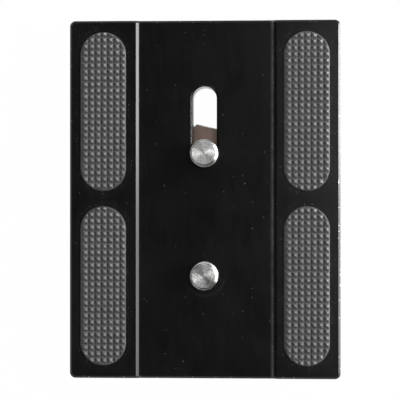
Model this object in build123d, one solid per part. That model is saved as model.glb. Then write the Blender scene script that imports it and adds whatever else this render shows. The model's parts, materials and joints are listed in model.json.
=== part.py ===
from build123d import *
from math import ceil, cos, radians
import os

# Tripod quick release plate with two captive camera screws, in millimetres.
# X runs across the plate, Y along it and Z up. The origin lies under the middle of the plate,
# on the surface that the plate rests on.

# Plate outline
PLATE_WIDTH = 62.0
PLATE_LENGTH = 82.0
CORNER_RADIUS = 1.3
EDGE_CHAMFER = 0.5          # top edges
UNDERSIDE_CHAMFER = 0.4     # bottom edges and the edge of the head recess

# Shallow channel along the middle of the top, with gently sloping banks
CHANNEL_WIDTH = 32.2        # at the top of its banks
CHANNEL_DEPTH = 0.4
BANK_WIDTH = 0.7            # seen from above
CHANNEL_SHIFT = 0.35        # its middle lies this much right of the plate's middle
CHANNEL_FILLET = 0.4        # at the foot of its banks

# Metal between the channel and the head recess
WEB_THICKNESS = 6.2

# Dovetail sides, cut back under the top rim for the clamp's jaws
RIM_THICKNESS = 3.2
NECK_INSET = 4.5            # from the rim's edge in to the neck
FOOT_INSET = 1.5            # from the rim's edge in to the foot's edge
FOOT_EDGE = 2.0             # upright edge of the foot, below its 45 degree flank
NECK_FILLET = 0.6           # inside corners of the undercut

# Captive camera screws
THREAD_DIAMETER = 6.25      # quarter inch camera thread as cut, a little under its nominal 6.35
THREAD_DEPTH = 0.675        # down to the thread's root, which is also the neck
THREAD_REACH = 4.5          # above the tops of the grip pads
THREAD_POINT = 0.6          # bevel at the free end
POINT_ROUND = 0.5           # from that bevel into the end face
THREAD_RUNOUT = 0.4         # bevel at the lower end
HEAD_ACROSS_FLATS = 13.0
HEAD_HEIGHT = 3.4
HEAD_BEVEL = 0.35           # height of the bevel that takes off the hexagon's corners
COIN_SLOT_WIDTH = 1.8
COIN_SLOT_DEPTH = 1.5
SLIDING_SCREW_TURN = 16.6   # degrees, how the sliding screw's head stands

# Where the screws stand along the plate
FIXED_SCREW_Y = -17.35
SCREW_SPACING = 27.8        # to the sliding screw, at rest in the near end of its slot
SLOT_TRAVEL = 12.7
SLOT_CHAMFER = 0.45

# Friction washers between the heads and the plate, six-sided like the heads
WASHER_THICKNESS = 0.6
WASHER_ACROSS_FLATS = 12.6
WASHER_CORNER = 0.5

# Clearances of the screws
NECK_CLEARANCE = 0.3        # neck to the side of its slot or hole
WASHER_CLEARANCE = 0.05     # neck to washer, a running fit
THREAD_FLOAT = 0.15         # channel floor to the lower end of the thread
HEAD_SIDE_ROOM = 1.2        # hexagon corners to the wall of the recess
HEAD_RECESS = 0.4           # underside of the heads above the plate's underside

# Grip pads, glued into pockets in the raised side bands
PAD_OUTER_MARGIN = 2.45     # pad to the side of the plate
PAD_INNER_MARGIN = 1.95     # pad to the channel's bank, as the mean of both sides
PAD_END_MARGIN = 2.775      # pad to the end of the plate, as the mean of both ends
PAD_GAP = 3.45              # between the two pads of a band
PAD_SHIFT = 0.15            # all four pads lie this much nearer the slot's end
PAD_POCKET_DEPTH = 1.0
PAD_CLEARANCE = 0.1         # pad to the wall of its pocket
PAD_PROUD = 0.35            # pad base above the band
PAD_RIM = 0.3               # bevel round the field of pyramids
PYRAMID_PITCH = 1.447
PYRAMID_HEIGHT = 0.55
LEFT_PATTERN_SHIFT = 0.38   # how far the pyramids of a left pad are off its middle, along it

# Heights that follow from the sizes above
RECESS_DEPTH = WASHER_THICKNESS + HEAD_HEIGHT + HEAD_RECESS
FLOOR_Z = RECESS_DEPTH + WEB_THICKNESS
BAND_Z = FLOOR_Z + CHANNEL_DEPTH
PAD_TOP_Z = BAND_Z + PAD_PROUD + PYRAMID_HEIGHT

# Widths and places that follow from the sizes above
NECK_DIAMETER = THREAD_DIAMETER - 2 * THREAD_DEPTH
SLOT_WIDTH = NECK_DIAMETER + 2 * NECK_CLEARANCE
SLOT_NEAR_Y = FIXED_SCREW_Y + SCREW_SPACING
SLOT_FAR_Y = SLOT_NEAR_Y + SLOT_TRAVEL
HEAD_ACROSS_CORNERS = HEAD_ACROSS_FLATS / cos(radians(30))
RECESS_WIDTH = HEAD_ACROSS_CORNERS + 2 * HEAD_SIDE_ROOM
BAND_WIDTH = (PLATE_WIDTH - CHANNEL_WIDTH) / 2
PAD_WIDTH = BAND_WIDTH - PAD_OUTER_MARGIN - PAD_INNER_MARGIN
PAD_LENGTH = (PLATE_LENGTH - PAD_GAP) / 2 - PAD_END_MARGIN
PAD_X = (PLATE_WIDTH - PAD_WIDTH) / 2 - PAD_OUTER_MARGIN
PAD_Y = (PAD_GAP + PAD_LENGTH) / 2

# Slack for finding edges and corners by their place
TOUCH = 0.001


def obround(length, width, y):
    """A slot shape lying along Y, with its middle at y."""
    return Pos(0, y) * Rot(0, 0, 90) * SlotOverall(length, width)


def edges_between(solid, low, high):
    """The edges of a solid whose middles lie between two heights."""
    return solid.edges().filter_by_position(Axis.Z, low - TOUCH, high + TOUCH)


def corners_at(section, x):
    """The corners of a section that lie at a distance x to either side of its middle."""
    return section.vertices().filter_by(lambda corner: abs(abs(corner.X) - x) < TOUCH)


def channel():
    """What is milled out for the channel, which dips at both ends with the bevel of the plate."""
    bank = CHANNEL_WIDTH / 2
    foot = bank - BANK_WIDTH
    above = BAND_Z + CHANNEL_DEPTH
    outline = Polyline(
        (-bank, above),
        (-bank, BAND_Z),
        (-foot, FLOOR_Z),
        (foot, FLOOR_Z),
        (bank, BAND_Z),
        (bank, above),
        close=True,
    )
    section = fillet(corners_at(make_face(outline), foot), CHANNEL_FILLET)
    section = Pos(CHANNEL_SHIFT, 0) * Plane.XZ * section
    run = extrude(section, PLATE_LENGTH / 2, both=True)
    bevel_start = PLATE_LENGTH / 2 - EDGE_CHAMFER
    dip = extrude(Pos(0, bevel_start) * section, 2 * EDGE_CHAMFER, dir=(0, 1, -1))
    return run + dip + mirror(dip, Plane.XZ)


def plate_bar():
    """The plate's section, with its dovetail sides, drawn along Y."""
    rim = PLATE_WIDTH / 2
    neck = rim - NECK_INSET
    foot = rim - FOOT_INSET
    flank_top = FOOT_EDGE + foot - neck
    half = Polyline(
        (0, 0),
        (foot, 0),
        (foot, FOOT_EDGE),
        (neck, flank_top),
        (neck, BAND_Z - RIM_THICKNESS),
        (rim, BAND_Z - RIM_THICKNESS),
        (rim, BAND_Z),
        (0, BAND_Z),
    )
    section = make_face(half + mirror(half, Plane.YZ))
    section = fillet(corners_at(section, neck), NECK_FILLET)
    bar = extrude(Plane.XZ * section, PLATE_LENGTH / 2, both=True)
    uprights = bar.edges().filter_by(Axis.Z)
    corners = uprights.filter_by(lambda edge: abs(edge.center().X) > foot - TOUCH)
    return fillet(corners, CORNER_RADIUS)


def round_screw_openings(edge):
    """Whether an edge of the channel floor belongs to the slot or to the screw hole."""
    middle = edge.center()
    return abs(middle.X) < SLOT_WIDTH and abs(middle.Y) < PLATE_LENGTH / 2 - EDGE_CHAMFER - TOUCH


def plate():
    """The milled plate: bar, edge bevels, channel, head recess, screw openings and pad pockets."""
    body = plate_bar()
    body = chamfer(edges_between(body, BAND_Z, BAND_Z), EDGE_CHAMFER)
    body -= channel()

    recess_span = SLOT_FAR_Y - FIXED_SCREW_Y
    recess = obround(recess_span + RECESS_WIDTH, RECESS_WIDTH, (SLOT_FAR_Y + FIXED_SCREW_Y) / 2)
    body -= extrude(recess, RECESS_DEPTH)
    body = chamfer(edges_between(body, 0, 0), UNDERSIDE_CHAMFER)

    slot = obround(SLOT_TRAVEL + SLOT_WIDTH, SLOT_WIDTH, (SLOT_NEAR_Y + SLOT_FAR_Y) / 2)
    hole = Pos(0, FIXED_SCREW_Y) * Circle(SLOT_WIDTH / 2)
    body -= extrude(slot + hole, FLOOR_Z)
    floor_edges = edges_between(body, FLOOR_Z, FLOOR_Z)
    body = chamfer(floor_edges.filter_by(round_screw_openings), SLOT_CHAMFER)

    pocket = obround(PAD_LENGTH + 2 * PAD_CLEARANCE, PAD_WIDTH + 2 * PAD_CLEARANCE, 0)
    for place in pad_places().values():
        body -= place * Pos(0, 0, BAND_Z) * extrude(pocket, -PAD_POCKET_DEPTH)
    return body


def pad_places():
    """Where each grip pad lies, by name."""
    places = {}
    for row, y in (("upper", PAD_Y), ("lower", -PAD_Y)):
        for side, x in (("left", -PAD_X), ("right", PAD_X)):
            places[f"grip_pad_{row}_{side}"] = Pos(x, y + PAD_SHIFT)
    return places


def ridged_face(across, base, shift):
    """A bar's section with pointed ridges on its top, one of them at shift, wider than across."""
    beside = ceil(across / 2 / PYRAMID_PITCH) + 1
    edge = shift - (beside + 0.5) * PYRAMID_PITCH
    points = [(edge, 0), (edge, base)]
    for ridge in range(2 * beside + 1):
        foot = edge + ridge * PYRAMID_PITCH
        points.append((foot + PYRAMID_PITCH / 2, base + PYRAMID_HEIGHT))
        points.append((foot + PYRAMID_PITCH, base))
    points.append((foot + PYRAMID_PITCH, 0))
    return make_face(Polyline(*points, close=True))


def grip_pad(pattern_shift):
    """One rubber pad: ridges along it crossed with ridges across it leave rows of pyramids."""
    base = PAD_POCKET_DEPTH + PAD_PROUD
    slab = extrude(obround(PAD_LENGTH, PAD_WIDTH, 0), base)
    slab = chamfer(edges_between(slab, base, base), PAD_RIM)

    field_width = PAD_WIDTH - 2 * PAD_RIM
    field_length = PAD_LENGTH - 2 * PAD_RIM
    along = extrude(Plane.XZ * ridged_face(field_width, base, 0), field_length / 2, both=True)
    cross_ridges = ridged_face(field_length, base, pattern_shift)
    across = extrude(Plane.YZ * cross_ridges, field_width / 2, both=True)
    field = extrude(obround(field_length, field_width, 0), base + PYRAMID_HEIGHT)
    return Pos(0, 0, BAND_Z - PAD_POCKET_DEPTH) * (slab + (field & along & across))


def camera_screw(y, turn):
    """A turned screw: bevelled thread, neck through the plate and hexagon head with a coin slot."""
    thread = THREAD_DIAMETER / 2
    neck = NECK_DIAMETER / 2
    shoulder = FLOOR_Z + THREAD_FLOAT
    tip = PAD_TOP_Z + THREAD_REACH
    head_top = HEAD_RECESS + HEAD_HEIGHT
    half = Polyline(
        (0, head_top),
        (neck, head_top),
        (neck, shoulder),
        (thread - THREAD_RUNOUT, shoulder),
        (thread, shoulder + THREAD_RUNOUT),
        (thread, tip - THREAD_POINT),
        (thread - THREAD_POINT, tip),
        (0, tip),
        close=True,
    )
    outline = make_face(half)
    end_corners = outline.vertices().filter_by_position(Axis.Y, tip - TOUCH, tip + TOUCH)
    outline = fillet(end_corners.sort_by(Axis.X)[-1], POINT_ROUND)
    shank = revolve(Plane.XZ * outline, Axis.Z)
    return Pos(0, y) * Rot(0, 0, turn) * (shank + screw_head())


def screw_head():
    """The hexagon head, with both ends bevelled round and the coin slot across its underside."""
    flat = HEAD_ACROSS_FLATS / 2
    corner = HEAD_ACROSS_CORNERS / 2
    half = Polyline(
        (0, 0),
        (flat, 0),
        (corner, HEAD_BEVEL),
        (corner, HEAD_HEIGHT - HEAD_BEVEL),
        (flat, HEAD_HEIGHT),
        (0, HEAD_HEIGHT),
        close=True,
    )
    rounded = revolve(Plane.XZ * make_face(half), Axis.Z)
    hexagon = extrude(RegularPolygon(flat, 6, major_radius=False, rotation=90), HEAD_HEIGHT)
    coin_slot = extrude(Rectangle(HEAD_ACROSS_CORNERS, COIN_SLOT_WIDTH), COIN_SLOT_DEPTH)
    return Pos(0, 0, HEAD_RECESS) * ((hexagon & rounded) - coin_slot)


def friction_washer(y, turn):
    """A thin fibre washer between a screw's head and the plate, lying square on the head."""
    sheet = RegularPolygon(WASHER_ACROSS_FLATS / 2, 6, major_radius=False, rotation=90)
    sheet = fillet(sheet.vertices(), WASHER_CORNER)
    ring = sheet - Circle(NECK_DIAMETER / 2 + WASHER_CLEARANCE)
    return Pos(0, y, HEAD_RECESS + HEAD_HEIGHT) * Rot(0, 0, turn) * extrude(ring, WASHER_THICKNESS)


def all_pieces():
    """Every piece of the plate in its place, by name."""
    pieces = {"plate": plate()}
    pads = {"left": grip_pad(LEFT_PATTERN_SHIFT), "right": grip_pad(0)}
    for name, place in pad_places().items():
        side = name.split("_")[-1]
        pieces[name] = place * pads[side]
    pieces["fixed_screw"] = camera_screw(FIXED_SCREW_Y, 0)
    pieces["fixed_washer"] = friction_washer(FIXED_SCREW_Y, 0)
    pieces["sliding_screw"] = camera_screw(SLOT_NEAR_Y, SLIDING_SCREW_TURN)
    pieces["sliding_washer"] = friction_washer(SLOT_NEAR_Y, SLIDING_SCREW_TURN)
    return pieces


os.makedirs("parts", exist_ok=True)
for piece_name, piece in all_pieces().items():
    export_step(piece, f"parts/{piece_name}.step")
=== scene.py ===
import json
from math import cos, pi, radians, sin

import bpy
from mathutils import Matrix, Vector


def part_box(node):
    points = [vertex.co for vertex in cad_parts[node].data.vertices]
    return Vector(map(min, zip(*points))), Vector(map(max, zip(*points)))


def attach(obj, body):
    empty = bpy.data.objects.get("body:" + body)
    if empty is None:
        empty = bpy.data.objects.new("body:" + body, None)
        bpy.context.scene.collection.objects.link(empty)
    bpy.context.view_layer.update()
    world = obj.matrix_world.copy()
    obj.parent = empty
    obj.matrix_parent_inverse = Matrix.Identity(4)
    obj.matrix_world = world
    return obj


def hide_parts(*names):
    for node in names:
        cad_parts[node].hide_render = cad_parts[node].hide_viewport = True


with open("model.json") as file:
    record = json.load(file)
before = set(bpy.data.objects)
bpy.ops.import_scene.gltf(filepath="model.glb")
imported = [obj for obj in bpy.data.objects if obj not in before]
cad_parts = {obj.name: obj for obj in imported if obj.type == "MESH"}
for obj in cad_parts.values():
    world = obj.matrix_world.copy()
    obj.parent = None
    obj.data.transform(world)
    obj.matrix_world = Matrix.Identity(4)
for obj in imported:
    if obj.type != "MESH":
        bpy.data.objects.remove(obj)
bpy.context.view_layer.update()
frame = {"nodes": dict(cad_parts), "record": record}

# A tripod quick release plate with two captive camera screws. Lengths are in metres.
MM = 0.001

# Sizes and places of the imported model's pieces
PLATE_WIDTH = 62.0 * MM
PLATE_LENGTH = 82.0 * MM
EDGE_BEVEL = 0.5 * MM
BAND_TOP = 11.0 * MM
CHANNEL_DEPTH = 0.4 * MM
PAD_X = 23.3 * MM
PAD_Y = 19.975 * MM
PAD_SHIFT = 0.15 * MM
PAD_WIDTH = 10.5 * MM
PAD_STRAIGHT = 26.0 * MM
PAD_BASE = 11.35 * MM
SCREW_RADIUS = 3.125 * MM
FIXED_AXIS = frame["record"]["mounts"][0]["pos_m"]
SLIDING_AXIS = frame["record"]["mounts"][1]["pos_m"]

# Quarter inch camera thread: twenty turns to the inch
THREAD_PITCH = 1.27 * MM
THREAD_ROOT = 2.47 * MM
THREAD_ROOT_FLAT = 0.25 * MM
GROOVE_MOUTH = 3.3 * MM
THREAD_FLANK = radians(30)
THREAD_STEPS = 64

# How far the thread runs below the side bands' top and out past the screw's end
THREAD_BELOW_BAND = 1.2 * MM
THREAD_PAST_END = 1.5 * MM

# End of each screw, cut off and built again: a crisp bevel round the flat face
END_CUT = 1.0 * MM
END_BEVEL = 0.42 * MM
END_ROUND = 0.12 * MM
END_STEPS = 4
FACE_MARGIN = 0.05 * MM

# Where each thread starts round its screw
FIXED_THREAD_START = radians(200)
SLIDING_THREAD_START = radians(215)

# Grip pads: pyramids in rows, with a narrow flat between them, trimmed to the pad's outline
PYRAMID_PITCH = 1.447 * MM
PYRAMID_HEIGHT = 0.55 * MM
PYRAMID_TIP = 0.09 * MM
VALLEY_FLAT = 0.16 * MM
HIP_BEVEL = 0.03 * MM
PYRAMID_COLUMNS = 9
PYRAMID_ROWS = 27
LEFT_PATTERN_SHIFT = Vector((0.25, 0.43, 0)) * MM
RIGHT_PATTERN_SHIFT = Vector((0.18, -0.1, 0)) * MM
PAD_RIM = 0.3 * MM
PAD_RIM_STEPS = 6
PAD_END_STEPS = 96
TRIM_ROOM = 0.3 * MM
SHOULDER_DROP = 0.02 * MM

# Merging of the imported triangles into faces, and the angles past which an edge stays sharp
MERGE_DISTANCE = 0.002 * MM
FLAT_ANGLE = radians(0.5)
SHARP_ANGLE = radians(32)
PAD_SHARP_ANGLE = radians(18)

# Noise lies round this middle, and every grain is raised with this strength
NOISE_MIDDLE = 0.5
RELIEF_STRENGTH = 0.5

# Black anodised plate: two greys with their warmth, clouds, brushing along the plate and grain
ANODISED_DARK = (0.002, 0.04)
ANODISED_PALE = (0.0078, 0.04)
ANODISED_ROUGHNESS = 0.17
ANODISED_IOR = 1.4
CLOUD_SIZE = 9.0 * MM
CLOUD_ROUGHNESS = 0.05
BRUSHING_SIZE = 1.5 * MM
BRUSHING_STRETCH = (1, 0.2, 1)
BRUSHING_CONTRAST = 1.6
METAL_GRAIN_SIZE = 0.18 * MM
METAL_GRAIN_DEPTH = 0.002 * MM

# Specks of dust and nicks in the edge: spacing, radius, and the share of them that is kept
LARGE_SPECKS = (4.6 * MM, 0.17 * MM, 0.1)
SMALL_SPECKS = (2.2 * MM, 0.12 * MM, 0.08)
GATHERED_SPECKS = (0.75 * MM, 0.15 * MM, 0.4)
EDGE_NICKS = (1.3 * MM, 0.13 * MM, 0.5)
SPECK_CRISPNESS = 2
FAINTEST_SPECK = 0.3

# Where dust lies: on faces that look up, round the pads, at the channel's right side, in a ring
UPWARD_FROM = 0.5
DUST_PATCH_SIZE = 3.0 * MM
DUST_PATCH_START = 0.42
DUST_PATCH_CONTRAST = 4
PAD_DUST_REACH = 2.0 * MM
BANK_DUST_REACH = 1.5 * MM
SWEPT_DUST_X = 15.55 * MM
SWEPT_DUST_REACH = 0.55 * MM
RING_MARK_RADIUS = 4.7 * MM
RING_MARK_REACH = 0.6 * MM
RING_MARK_START = 0.2

# How strongly each kind of dust and wear shows
SETTLED_STRENGTH = 0.6
GATHERED_STRENGTH = 0.7
SWEPT_STRENGTH = 0.4
FILM_STRENGTH = 0.03
RING_MARK_STRENGTH = 0.06
DUST_GREY = 0.25
DUST_ROUGHNESS = 0.4
NICK_GREY = 0.6
NICK_ROUGHNESS = 0.2

# Rubber of the pads: two greys, and how much height and mottling lead from one to the other; the
# height share is painted shade, darker in the valleys and paler at the tips
RUBBER_DARK = 0.05
RUBBER_PALE = 0.33
RUBBER_PAINTED_SHADE_SHARE = 0.5
RUBBER_MOTTLE_SHARE = 0.35
RUBBER_ROUGHNESS = 0.4
RUBBER_MOTTLE_ROUGHNESS = 0.1
RUBBER_IOR = 1.5
RUBBER_MOTTLE_SIZE = 1.2 * MM
RUBBER_GRAIN_SIZE = 0.22 * MM
RUBBER_GRAIN_DEPTH = 0.03 * MM

# Turned steel of each screw: its darkest grey and how dull it is. Both are the same steel; the
# fixed screw's darker grey is painted shade
FIXED_STEEL_PAINTED_DARKER = (0.36, 0.34)
SLIDING_STEEL = (0.6, 0.46)

# Turned steel of both screws: palest grey, turning rings, grit, polished bevel and middle pip,
# whose dark grey is painted shade
STEEL_PALE = 0.98
STEEL_WARMTH = 0.01
STEEL_ANISOTROPY = 0.85
STEEL_GRAIN_TURN = 0.25
TURNING_SPACING = 0.16 * MM
TURNING_DEPTH = 0.012 * MM
GRIT_SIZE = 0.23 * MM
GRIT_CONTRAST = 6
GRIT_LEVEL = 0.8
GRIT_RELIEF = 0.7
GRIT_ROUGHNESS = 0.12
BEVEL_POLISH = 0.6
PIP_RADIUS = 0.25 * MM
PIP_SHADE_GREY = 0.2

# Brown fibre of the washers
FIBRE_DARK = (0.46, 0.335, 0.278, 1)
FIBRE_PALE = (0.76, 0.56, 0.465, 1)
FIBRE_ROUGHNESS = 0.72
FIBRE_MOTTLE_SIZE = 1.4 * MM
FIBRE_GRAIN_SIZE = 0.15 * MM
FIBRE_GRAIN_DEPTH = 0.02 * MM

# View of the photograph, which is 400 pixels wide and high
PHOTO_PIXELS = 400
FOCAL_PIXELS = 1357
SENSOR_MM = 36.0
EYE = Vector((12.8, -1.0, 321.0)) * MM
AIM = Vector((-1.05, -0.14, 11.0)) * MM

# Floor: white near the plate, and grey from the far end of the fade, a painted pool of light
FLOOR_DROP = 0.05 * MM
FLOOR_SIZE = 6.0
FLOOR_GLOW = 0.99
FLOOR_EDGE = 0.35
FLOOR_FADE = (0.066, 0.26)
FLOOR_GLOSS_IOR = 1.2
FLOOR_GLOSS_ROUGHNESS = 0.15

# Soft lamps: azimuth and elevation in degrees, distance, width, height and brightness
LAMPS = {
    "key_panel": (12, 33, 0.62, 1.0, 0.3, 3.2),
    "low_core": (16, 2.5, 0.58, 0.3, 0.05, 31.0),
    "low_wide": (0, 2.5, 0.6, 0.7, 0.05, 8.0),
    "floor_strip": (14, 3, 0.3, 0.3, 0.035, 8.0),
    "bank_panel": (2, 36, 0.6, 0.31, 0.09, 6.3),
    "bank_core": (12.5, 36, 0.58, 0.165, 0.09, 13.2),
    "corner_card": (225, 3, 0.6, 0.25, 0.07, 2.4),
    "left_card": (185, 3, 0.5, 0.7, 0.06, 1.0),
    "front_card": (265, 3, 0.5, 0.6, 0.06, 1.0),
    "overhead_panel": (7, 78, 0.737, 0.3, 0.15, 1.6),
    "overhead_card": (215, 79, 0.733, 0.12, 0.1, 0.1),
    "back_panel": (90, 50, 0.65, 0.3, 0.3, 2.3),
}

# Light of the room round the lamps
WALL_LIGHT = 0.07
ZENITH_LIGHT = 0.11
CEILING_POWER = 3.0
HORIZON_LIGHT = 0.6
HORIZON_POWER = 20.0


class Wire:
    """A socket in a node tree. Arithmetic on wires adds Math nodes to that tree."""

    def __init__(self, tree, socket=None):
        self.tree = tree
        self.socket = socket

    def node(self, kind, settings=None, inputs=None, output=0):
        """Adds a node of any kind: its settings first, then its sockets' values or wires."""
        made = self.tree.nodes.new(kind)
        for name, value in (settings or {}).items():
            setattr(made, name, value)
        for name, value in (inputs or {}).items():
            if isinstance(value, Wire):
                self.tree.links.new(value.socket, made.inputs[name])
            else:
                made.inputs[name].default_value = value
        return Wire(self.tree, made.outputs[output])

    def maths(self, operation, *values):
        return self.node("ShaderNodeMath", {"operation": operation}, dict(enumerate(values)))

    def clamped(self):
        return self.node("ShaderNodeClamp", None, {"Value": self})

    def larger(self, other):
        return self.maths("MAXIMUM", self, other)

    def blend(self, low, high):
        """The colour low where the wire is 0, and high where it is 1."""
        inputs = {0: self, 6: low, 7: high}
        return self.node("ShaderNodeMix", {"data_type": "RGBA"}, inputs, output=2)

    def __add__(self, other):
        return self.maths("ADD", self, other)

    def __radd__(self, other):
        return self.maths("ADD", other, self)

    def __sub__(self, other):
        return self.maths("SUBTRACT", self, other)

    def __rsub__(self, other):
        return self.maths("SUBTRACT", other, self)

    def __mul__(self, other):
        return self.maths("MULTIPLY", self, other)

    def __rmul__(self, other):
        return self.maths("MULTIPLY", other, self)

    def __abs__(self):
        return self.maths("ABSOLUTE", self)

    def __gt__(self, other):
        return self.maths("GREATER_THAN", self, other)


def new_material(name):
    """An empty material, with a wire of the places on its surface to build its nodes from."""
    material = bpy.data.materials.new(name)
    material.use_nodes = True
    material.node_tree.nodes.clear()
    place = Wire(material.node_tree).node("ShaderNodeTexCoord", output="Object")
    return material, place


def join_output(shader, kind="ShaderNodeOutputMaterial"):
    """Joins a finished shader to the output of its node tree."""
    output = shader.tree.nodes.new(kind)
    shader.tree.links.new(shader.socket, output.inputs["Surface"])


def finish_material(place, principled):
    """Builds the surface's shader from its inputs and joins it to the material's output."""
    join_output(place.node("ShaderNodeBsdfPrincipled", None, principled))


def grey(value, warmth=0.0):
    """A grey as a colour, with more red and less blue the warmer it is."""
    return (value * (1 + warmth), value, value * (1 - warmth), 1.0)


def axes(place):
    """The X, Y and Z of a place as three wires."""
    return [place.node("ShaderNodeSeparateXYZ", None, {0: place}, output=axis) for axis in "XYZ"]


def length(place):
    """How far a place lies from the origin."""
    settings = {"operation": "LENGTH"}
    return place.node("ShaderNodeVectorMath", settings, {0: place}, output="Value")


def fading(distance, reach):
    """A mask that is 1 where the distance is 0 or less, and fades to 0 at the reach."""
    return (1 - distance * (1 / reach)).clamped()


def noise(place, size, detail=2.0, roughness=0.5):
    """Soft noise from 0 to 1 whose lumps are about the given size."""
    inputs = {"Vector": place, "Scale": 1 / size, "Detail": detail, "Roughness": roughness}
    return place.node("ShaderNodeTexNoise", None, inputs)


def relief(height, depth):
    """A fine relief that follows a wire of heights."""
    inputs = {"Strength": RELIEF_STRENGTH, "Distance": depth, "Height": height}
    return height.node("ShaderNodeBump", None, inputs)


def specks(place, spacing, radius, share):
    """A mask of small round specks, seen from above: one to a cell, of which a share is kept."""
    settings = {"voronoi_dimensions": "2D"}
    inputs = {"Vector": place, "Scale": 1 / spacing}
    distance = place.node("ShaderNodeTexVoronoi", settings, inputs, output="Distance")
    lot = place.node("ShaderNodeTexVoronoi", settings, inputs, output="Color")
    kept = place.node("ShaderNodeSeparateColor", None, {"Color": lot}, output="Red") > 1 - share
    chance = place.node("ShaderNodeSeparateColor", None, {"Color": lot}, output="Green")
    strength = chance * (1 - FAINTEST_SPECK) + FAINTEST_SPECK
    reach = radius / spacing
    return ((reach - distance) * (SPECK_CRISPNESS / reach)).clamped() * kept * strength


def beside_pads(across, along):
    """A mask that is 1 at the edges of the four grip pads and fades to 0 a little way off."""
    side = abs(across) - PAD_X
    end = (abs(abs(along - PAD_SHIFT) - PAD_Y) - PAD_STRAIGHT / 2).larger(0)
    distance = side.maths("SQRT", side * side + end * end) - PAD_WIDTH / 2
    return fading(distance, PAD_DUST_REACH)


def on_top_edge(across, along):
    """A mask of the strip round the plate's outline where its top is bevelled."""
    past_side = abs(across) - (PLATE_WIDTH / 2 - EDGE_BEVEL)
    past_end = abs(along) - (PLATE_LENGTH / 2 - EDGE_BEVEL)
    return past_side.larger(past_end) > 0


def dust_on_plate(place, across, along):
    """Dust on the plate: specks, a film round the pads, a swept line and a faint ring."""
    patches = noise(place, DUST_PATCH_SIZE, detail=3.0)
    settled = specks(place, *LARGE_SPECKS).larger(specks(place, *SMALL_SPECKS))
    near_pads = beside_pads(across, along)
    near_bank = fading(abs(across - SWEPT_DUST_X), BANK_DUST_REACH)
    thick = ((patches - DUST_PATCH_START) * DUST_PATCH_CONTRAST).clamped()
    gathered = specks(place, *GATHERED_SPECKS) * thick * near_pads.larger(near_bank)
    swept = fading(abs(across - SWEPT_DUST_X), SWEPT_DUST_REACH) * patches
    past_screw = along - FIXED_AXIS[1]
    from_screw = across.maths("SQRT", across * across + past_screw * past_screw)
    below_screw = ((FIXED_AXIS[1] - along) * (1 / RING_MARK_RADIUS) + RING_MARK_START).clamped()
    ring = fading(abs(from_screw - RING_MARK_RADIUS), RING_MARK_REACH)
    ring_mark = ring * below_screw * patches
    grains = (settled * SETTLED_STRENGTH).larger(gathered * GATHERED_STRENGTH)
    film = near_pads * patches * FILM_STRENGTH
    return grains + swept * SWEPT_STRENGTH + film + ring_mark * RING_MARK_STRENGTH


def black_anodised():
    """Satin black anodised aluminium, faintly cloudy and brushed, with dust and edge wear."""
    material, place = new_material("black_anodised")
    facing = place.node("ShaderNodeTexCoord", output="Normal")
    across, along, height = axes(place)
    top_only = height > BAND_TOP - CHANNEL_DEPTH - EDGE_BEVEL
    on_top = (axes(facing)[2] > UPWARD_FROM) * top_only
    stretched = place.node("ShaderNodeVectorMath", {"operation": "MULTIPLY"},
                           {0: place, 1: BRUSHING_STRETCH})
    clouds = noise(place, CLOUD_SIZE, detail=3.0)
    brushing = noise(stretched, BRUSHING_SIZE, detail=4.0, roughness=0.65)
    streaks = (clouds + brushing - 2 * NOISE_MIDDLE) * BRUSHING_CONTRAST
    mottle = (streaks + NOISE_MIDDLE).clamped()
    dust = dust_on_plate(place, across, along) * on_top
    nicks = specks(place, *EDGE_NICKS) * on_top_edge(across, along) * on_top
    metal = mottle.blend(grey(*ANODISED_DARK), grey(*ANODISED_PALE))
    dusty = dust.clamped().blend(metal, grey(DUST_GREY))
    satin = ANODISED_ROUGHNESS + clouds * CLOUD_ROUGHNESS
    finish_material(place, {
        "Base Color": nicks.blend(dusty, grey(NICK_GREY)),
        "Metallic": nicks,
        "Roughness": satin + dust * DUST_ROUGHNESS + nicks * NICK_ROUGHNESS,
        "IOR": ANODISED_IOR,
        "Normal": relief(noise(place, METAL_GRAIN_SIZE), METAL_GRAIN_DEPTH),
    })
    return material


def grip_rubber():
    """Moulded grey-black rubber with a dull sheen, and painted shade: darker valleys, paler tips.
    """
    material, place = new_material("grip_rubber")
    mottle = noise(place, RUBBER_MOTTLE_SIZE, detail=3.0)
    grain = noise(place, RUBBER_GRAIN_SIZE, detail=3.0)
    # Painted shade: the rubber's grey is set by height alone, darker in the valleys and paler at
    # the tips
    painted_height_shade = ((axes(place)[2] - PAD_BASE) * (1 / PYRAMID_HEIGHT)).clamped()
    painted_shade_and_mottle = (painted_height_shade * RUBBER_PAINTED_SHADE_SHARE + mottle * RUBBER_MOTTLE_SHARE).clamped()
    finish_material(place, {
        "Base Color": painted_shade_and_mottle.blend(grey(RUBBER_DARK), grey(RUBBER_PALE)),
        "Roughness": RUBBER_ROUGHNESS + mottle * RUBBER_MOTTLE_ROUGHNESS,
        "IOR": RUBBER_IOR,
        "Normal": relief(grain, RUBBER_GRAIN_DEPTH),
    })
    return material


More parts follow.
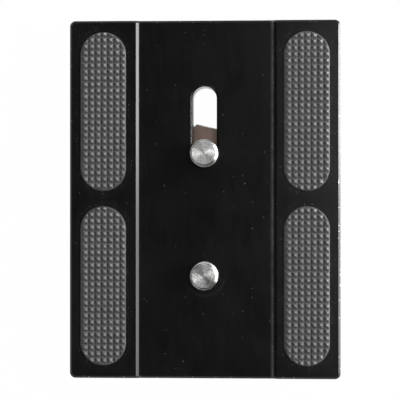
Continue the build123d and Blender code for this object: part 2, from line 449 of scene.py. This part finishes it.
def turned_steel(name, axis, top, dark, dullness):
    """Bright steel, turned round an axis: fine rings, a fanned highlight and a middle pip painted
    dark as shade.
    """
    material, place = new_material(name)
    centred = place.node("ShaderNodeVectorMath", {"operation": "MULTIPLY_ADD"},
                         {0: place, 1: (1, 1, 0), 2: (-axis[0], -axis[1], 0)})
    radius = length(centred)
    rings = radius.node("ShaderNodeTexNoise", {"noise_dimensions": "1D"},
                        {"W": radius, "Scale": 1 / TURNING_SPACING, "Detail": 3.0})
    near_end = axes(place)[2] > top - END_BEVEL
    polish = near_end * (radius > SCREW_RADIUS - END_BEVEL - FACE_MARGIN)
    speckle = noise(place, GRIT_SIZE) - NOISE_MIDDLE
    grit = (speckle * GRIT_CONTRAST + GRIT_LEVEL).clamped()
    steel = grit.blend(grey(dark, STEEL_WARMTH), grey(STEEL_PALE, STEEL_WARMTH))
    finish_material(place, {
        # Painted shade: a dark grey spot at the middle of the end stands for the turning centre's
        # shade
        "Base Color": fading(radius, PIP_RADIUS).blend(steel, grey(PIP_SHADE_GREY)),
        "Metallic": 1.0,
        "Roughness": (dullness + grit * GRIT_ROUGHNESS) * (1 - polish * BEVEL_POLISH),
        "Anisotropic": STEEL_ANISOTROPY,
        "Anisotropic Rotation": STEEL_GRAIN_TURN,
        "Normal": relief(rings + grit * GRIT_RELIEF, TURNING_DEPTH),
    })
    return material


def brown_fibre():
    """Pressed brown fibre, mottled and matt."""
    material, place = new_material("brown_fibre")
    mottle = noise(place, FIBRE_MOTTLE_SIZE, detail=4.0)
    finish_material(place, {
        "Base Color": mottle.blend(FIBRE_DARK, FIBRE_PALE),
        "Roughness": FIBRE_ROUGHNESS,
        "Normal": relief(noise(place, FIBRE_GRAIN_SIZE), FIBRE_GRAIN_DEPTH),
    })
    return material


def pale_floor():
    """A floor that is lifted to white for the eye and for reflections and keeps a soft shadow.

    Its faint shine is seen only by reflections. Its white fading to grey away from the plate is a
    painted pool of light.
    """
    material, place = new_material("pale_floor")
    near, far = FLOOR_FADE
    away = place.node("ShaderNodeMapRange", {"interpolation_type": "SMOOTHSTEP"},
                      {"Value": length(place), "From Min": near, "From Max": far})
    # Painted pool of light: the floor's colour is white near the plate and fades to grey further
    # off
    white = away.blend(grey(1.0), grey(FLOOR_EDGE))
    paint = place.node("ShaderNodeBsdfDiffuse", None, {"Color": white})
    glow = place.node("ShaderNodeEmission", None, {"Color": white, "Strength": 1.0})
    seen = place.node("ShaderNodeLightPath", output="Is Camera Ray")
    mirrored = place.node("ShaderNodeLightPath", output="Is Glossy Ray")
    through = place.node("ShaderNodeLightPath", output="Is Transmission Ray")
    lifted = (seen + mirrored + through).clamped() * FLOOR_GLOW
    matt = place.node("ShaderNodeMixShader", None, {0: lifted, 1: paint, 2: glow})
    shine = place.node("ShaderNodeBsdfGlossy", None, {"Roughness": FLOOR_GLOSS_ROUGHNESS})
    grazing = place.node("ShaderNodeFresnel", None, {"IOR": FLOOR_GLOSS_IOR})
    inputs = {0: grazing * mirrored, 1: matt, 2: shine}
    join_output(place.node("ShaderNodeMixShader", None, inputs))
    return material


def dress(piece, material):
    """Gives a piece one material all over."""
    piece.data.materials.clear()
    piece.data.materials.append(material)


def new_object(name, data):
    """An object in the scene that shows a mesh, a lamp or a camera."""
    made = bpy.data.objects.new(name, data)
    bpy.context.scene.collection.objects.link(made)
    return made


def work_on(piece):
    """Selects one piece alone and makes it the active one."""
    bpy.ops.object.select_all(action="DESELECT")
    piece.select_set(True)
    bpy.context.view_layer.objects.active = piece


def new_shape(name):
    """Takes the primitive just added as a new piece, with its place put into its mesh."""
    shape = bpy.context.active_object
    shape.name = name
    bpy.ops.object.transform_apply(location=True, rotation=True, scale=True)
    return shape


def node_copy(node, name):
    """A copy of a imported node, with its loose triangles merged into flat faces."""
    piece = new_object(name, frame["nodes"][node].data.copy())
    work_on(piece)
    bpy.ops.mesh.customdata_custom_splitnormals_clear()
    bpy.ops.object.mode_set(mode="EDIT")
    bpy.ops.mesh.select_all(action="SELECT")
    bpy.ops.mesh.remove_doubles(threshold=MERGE_DISTANCE)
    bpy.ops.mesh.dissolve_limited(angle_limit=FLAT_ANGLE)
    bpy.ops.object.mode_set(mode="OBJECT")
    return piece


def extrude_up(height):
    """Extrudes the selected faces straight up, or down where the height is below zero."""
    bpy.ops.mesh.extrude_region_move(TRANSFORM_OT_translate={"value": (0, 0, height)})


def inset_and_lift(thickness, height):
    """Draws the selected face in by a thickness and lifts it by a height."""
    bpy.ops.mesh.inset(thickness=thickness)
    bpy.ops.transform.translate(value=(0, 0, height))


def cut_with(piece, tool, operation, solver):
    """Cuts or trims a piece with another shape, which is then taken away."""
    work_on(piece)
    cut = piece.modifiers.new("cut", "BOOLEAN")
    cut.operation = operation
    cut.solver = solver
    cut.object = tool
    bpy.ops.object.modifier_apply(modifier=cut.name)
    bpy.data.objects.remove(tool)


def thread_groove(axis, low, high, start):
    """A groove wound round a screw's axis from one height to another, to cut its thread with."""
    depth = GROOVE_MOUTH - THREAD_ROOT
    mouth = THREAD_ROOT_FLAT + 2 * depth * sin(THREAD_FLANK) / cos(THREAD_FLANK)
    bpy.ops.object.select_all(action="DESELECT")
    bpy.ops.mesh.primitive_plane_add(size=1, location=(axis[0], axis[1], low))
    groove = bpy.context.active_object
    bpy.ops.object.mode_set(mode="EDIT")
    bpy.ops.mesh.delete(type="ONLY_FACE")
    bpy.ops.object.mode_set(mode="OBJECT")
    for corner in groove.data.vertices:
        outer = corner.co.x > 0
        width = mouth if outer else THREAD_ROOT_FLAT
        reach = GROOVE_MOUTH if outer else THREAD_ROOT
        height = width / 2 if corner.co.y > 0 else -width / 2
        corner.co = (reach * cos(start), reach * sin(start), height)
    winding = groove.modifiers.new("winding", "SCREW")
    winding.axis = "Z"
    winding.screw_offset = THREAD_PITCH
    winding.iterations = round((high - low) / THREAD_PITCH)
    winding.steps = THREAD_STEPS
    winding.render_steps = THREAD_STEPS
    bpy.ops.object.modifier_apply(modifier=winding.name)
    bpy.ops.object.mode_set(mode="EDIT")
    bpy.ops.mesh.select_all(action="SELECT")
    bpy.ops.mesh.remove_doubles(threshold=MERGE_DISTANCE)
    bpy.ops.mesh.fill_holes(sides=4)
    bpy.ops.mesh.normals_make_consistent(inside=False)
    bpy.ops.object.mode_set(mode="OBJECT")
    return groove


def bevelled_end(screw, axis, top):
    """Recuts the end of a screw: a crisp bevel with a slightly softened edge round a flat face."""
    slope = pi / 4
    straight = END_BEVEL - END_ROUND * (1 - cos(slope))
    work_on(screw)
    bpy.ops.object.mode_set(mode="EDIT")
    bpy.ops.mesh.select_mode(type="FACE")
    bpy.ops.mesh.select_all(action="SELECT")
    bpy.ops.mesh.bisect(plane_co=(axis[0], axis[1], top - END_CUT), plane_no=(0, 0, 1),
                        use_fill=True, clear_outer=True)
    extrude_up(END_CUT - END_BEVEL)
    extrude_up(straight)
    narrowed = 1 - straight / SCREW_RADIUS
    bpy.ops.transform.resize(value=(narrowed, narrowed, 1),
                             center_override=(axis[0], axis[1], top))
    for step in range(END_STEPS):
        before = slope * (1 - step / END_STEPS)
        after = slope * (1 - (step + 1) / END_STEPS)
        inset_and_lift(END_ROUND * (sin(before) - sin(after)),
                       END_ROUND * (cos(after) - cos(before)))
    bpy.ops.mesh.inset(thickness=FACE_MARGIN)
    bpy.ops.object.mode_set(mode="OBJECT")


def threaded_screw(node, body, axis, start, steel):
    """A camera screw with its thread cut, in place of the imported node's plain cylinder."""
    screw = node_copy(node, node + "_threaded")
    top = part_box(node)[1].z
    bevelled_end(screw, axis, top)
    groove = thread_groove(axis, BAND_TOP - THREAD_BELOW_BAND, top + THREAD_PAST_END, start)
    cut_with(screw, groove, "DIFFERENCE", "EXACT")
    bpy.ops.object.shade_smooth_by_angle(angle=SHARP_ANGLE)
    dress(screw, turned_steel(node + "_steel", axis, top, *steel))
    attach(screw, body)
    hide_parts(node)


def repeated(piece, step, count):
    """Repeats a piece along a step and joins the copies where they meet."""
    row = piece.modifiers.new("row", "ARRAY")
    row.use_relative_offset = False
    row.use_constant_offset = True
    row.constant_offset_displace = step
    row.count = count
    row.use_merge_vertices = True
    row.merge_threshold = MERGE_DISTANCE
    bpy.ops.object.modifier_apply(modifier=row.name)


def pyramid_sheet(name, middle, base, floor):
    """A sheet of pyramids round a middle one, modelled once and repeated, solid to the floor."""
    first = Vector((
        middle.x - (PYRAMID_COLUMNS - 1) / 2 * PYRAMID_PITCH,
        middle.y - (PYRAMID_ROWS - 1) / 2 * PYRAMID_PITCH,
        base,
    ))
    bpy.ops.object.select_all(action="DESELECT")
    bpy.ops.mesh.primitive_plane_add(size=PYRAMID_PITCH, location=first)
    sheet = new_shape(name)
    bpy.ops.object.mode_set(mode="EDIT")
    bpy.ops.mesh.inset(thickness=VALLEY_FLAT / 2)
    extrude_up(PYRAMID_HEIGHT)
    taper = PYRAMID_TIP / (PYRAMID_PITCH - VALLEY_FLAT)
    bpy.ops.transform.resize(value=(taper, taper, 1), center_override=first)
    bpy.ops.mesh.select_mode(type="EDGE")
    bpy.ops.mesh.select_all(action="DESELECT")
    bpy.ops.object.mode_set(mode="OBJECT")
    corners = sheet.data.vertices
    for edge in sheet.data.edges:
        low, high = sorted(corners[corner].co.z for corner in edge.vertices)
        edge.select = high - low > PYRAMID_HEIGHT / 2
    bpy.ops.object.mode_set(mode="EDIT")
    bpy.ops.mesh.bevel(offset=HIP_BEVEL, segments=1, affect="EDGES")
    bpy.ops.object.mode_set(mode="OBJECT")
    repeated(sheet, (PYRAMID_PITCH, 0, 0), PYRAMID_COLUMNS)
    repeated(sheet, (0, PYRAMID_PITCH, 0), PYRAMID_ROWS)

    bpy.ops.object.mode_set(mode="EDIT")
    bpy.ops.mesh.select_mode(type="FACE")
    bpy.ops.mesh.select_all(action="SELECT")
    extrude_up(floor - base)
    bpy.ops.transform.resize(value=(1, 1, 0), center_override=(middle.x, middle.y, floor))
    bpy.ops.mesh.dissolve_faces()
    bpy.ops.mesh.select_all(action="SELECT")
    bpy.ops.mesh.normals_make_consistent(inside=False)
    bpy.ops.object.mode_set(mode="OBJECT")
    return sheet


def pad_block(low, high, base):
    """The pad's outer form: an obround block with a rounded shoulder under its upper part."""
    width = high.x - low.x
    straight = (high.y - low.y) - width
    middle = (low + high) / 2
    shoulder = base - SHOULDER_DROP - PAD_RIM
    bpy.ops.object.select_all(action="DESELECT")
    bpy.ops.mesh.primitive_circle_add(vertices=PAD_END_STEPS, radius=width / 2, fill_type="NGON",
                                      location=(middle.x, middle.y, low.z),
                                      rotation=(0, 0, pi / PAD_END_STEPS))
    block = new_shape("pad_block")
    for corner in block.data.vertices:
        corner.co.y += straight / 2 if corner.co.y > middle.y else -straight / 2
    bpy.ops.object.mode_set(mode="EDIT")
    bpy.ops.mesh.select_all(action="SELECT")
    extrude_up(shoulder - low.z)
    turn = pi / 2 / PAD_RIM_STEPS
    for step in range(PAD_RIM_STEPS):
        below, above = step * turn, (step + 1) * turn
        inset_and_lift(PAD_RIM * (cos(below) - cos(above)), PAD_RIM * (sin(above) - sin(below)))
    extrude_up(2 * PYRAMID_HEIGHT)
    bpy.ops.mesh.select_all(action="SELECT")
    bpy.ops.mesh.normals_make_consistent(inside=False)
    bpy.ops.object.mode_set(mode="OBJECT")
    return block


def grip_pad(node, pattern_shift):
    """A rubber pad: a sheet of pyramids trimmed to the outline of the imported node."""
    low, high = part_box(node)
    base = high.z - PYRAMID_HEIGHT
    middle = (low + high) / 2 + pattern_shift
    pad = pyramid_sheet(node + "_moulded", middle, base, low.z - TRIM_ROOM)
    cut_with(pad, pad_block(low, high, base), "INTERSECT", "MANIFOLD")
    bpy.ops.object.shade_smooth_by_angle(angle=PAD_SHARP_ANGLE)
    return pad


def pad_pair(side, pattern_shift, material):
    """The two pads of one side band: the upper one, and a copy of it as the lower one."""
    upper, lower = "grip_pad_upper_" + side, "grip_pad_lower_" + side
    first = grip_pad(upper, pattern_shift)
    second = new_object(lower + "_moulded", first.data.copy())
    second.data.transform(Matrix.Translation(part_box(lower)[0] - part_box(upper)[0]))
    for pad, node in ((first, upper), (second, lower)):
        dress(pad, material)
        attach(pad, "plate_body")
        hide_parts(node)


def aimed(position, target, up):
    """The turn that points an object's own -Z axis at a target, with its Y axis towards up."""
    back = (position - target).normalized()
    right = up.cross(back).normalized()
    return Matrix((right, back.cross(right), back)).transposed().to_euler()


def soft_lamp(name, azimuth, elevation, distance, width, height, radiance):
    """A rectangular soft box of a given brightness that faces the plate."""
    lamp = bpy.data.lights.new(name, "AREA")
    lamp.shape = "RECTANGLE"
    lamp.size = width
    lamp.size_y = height
    lamp.energy = radiance * pi * width * height
    turn, rise = radians(azimuth), radians(elevation)
    place = distance * Vector((cos(turn) * cos(rise), sin(turn) * cos(rise), sin(rise)))
    holder = new_object(name, lamp)
    holder.location = place
    holder.rotation_euler = aimed(place, Vector((0, 0, 0)), Vector((0, 0, 1)))


def room_light():
    """The room round the lamps: dim walls, a little lighter overhead and bright at the horizon."""
    world = bpy.data.worlds.new("studio")
    world.use_nodes = True
    world.node_tree.nodes.clear()
    direction = Wire(world.node_tree).node("ShaderNodeTexCoord", output="Generated")
    rise = axes(direction)[2].clamped()
    overhead = rise.maths("POWER", rise, CEILING_POWER)
    horizon = rise.maths("POWER", 1 - rise, HORIZON_POWER)
    walls = overhead.blend(grey(WALL_LIGHT), grey(ZENITH_LIGHT))
    colour = horizon.blend(walls, grey(HORIZON_LIGHT))
    light = direction.node("ShaderNodeBackground", None, {"Color": colour, "Strength": 1.0})
    join_output(light, "ShaderNodeOutputWorld")
    bpy.context.scene.world = world


def studio():
    """Pale floor, soft lamps mostly at the right, and the room round them."""
    bpy.ops.object.select_all(action="DESELECT")
    bpy.ops.mesh.primitive_plane_add(size=FLOOR_SIZE, location=(0, 0, -FLOOR_DROP))
    floor = bpy.context.active_object
    floor.name = "floor"
    dress(floor, pale_floor())
    for name, values in LAMPS.items():
        soft_lamp(name, *values)
    room_light()


def photo_camera():
    """The photograph's view: from almost straight above, a little to the right of the plate."""
    lens = bpy.data.cameras.new("photo_camera")
    lens.sensor_width = SENSOR_MM
    lens.lens = SENSOR_MM * FOCAL_PIXELS / PHOTO_PIXELS
    holder = new_object("photo_camera", lens)
    holder.location = EYE
    holder.rotation_euler = aimed(EYE, AIM, Vector((0, 1, 0)))
    bpy.context.scene.camera = holder


dress(frame["nodes"]["plate"], black_anodised())
rubber = grip_rubber()
fibre = brown_fibre()
pad_pair("left", LEFT_PATTERN_SHIFT, rubber)
pad_pair("right", RIGHT_PATTERN_SHIFT, rubber)
for washer in ("fixed_washer", "sliding_washer"):
    dress(frame["nodes"][washer], fibre)
# The fixed screw's steel is painted darker than the sliding screw's: painted shade
threaded_screw("fixed_screw", "fixed_screw_body", FIXED_AXIS,
               FIXED_THREAD_START, FIXED_STEEL_PAINTED_DARKER)
threaded_screw("sliding_screw", "sliding_screw_body", SLIDING_AXIS,
               SLIDING_THREAD_START, SLIDING_STEEL)
studio()
photo_camera()
bpy.context.scene.view_settings.view_transform = "Standard"
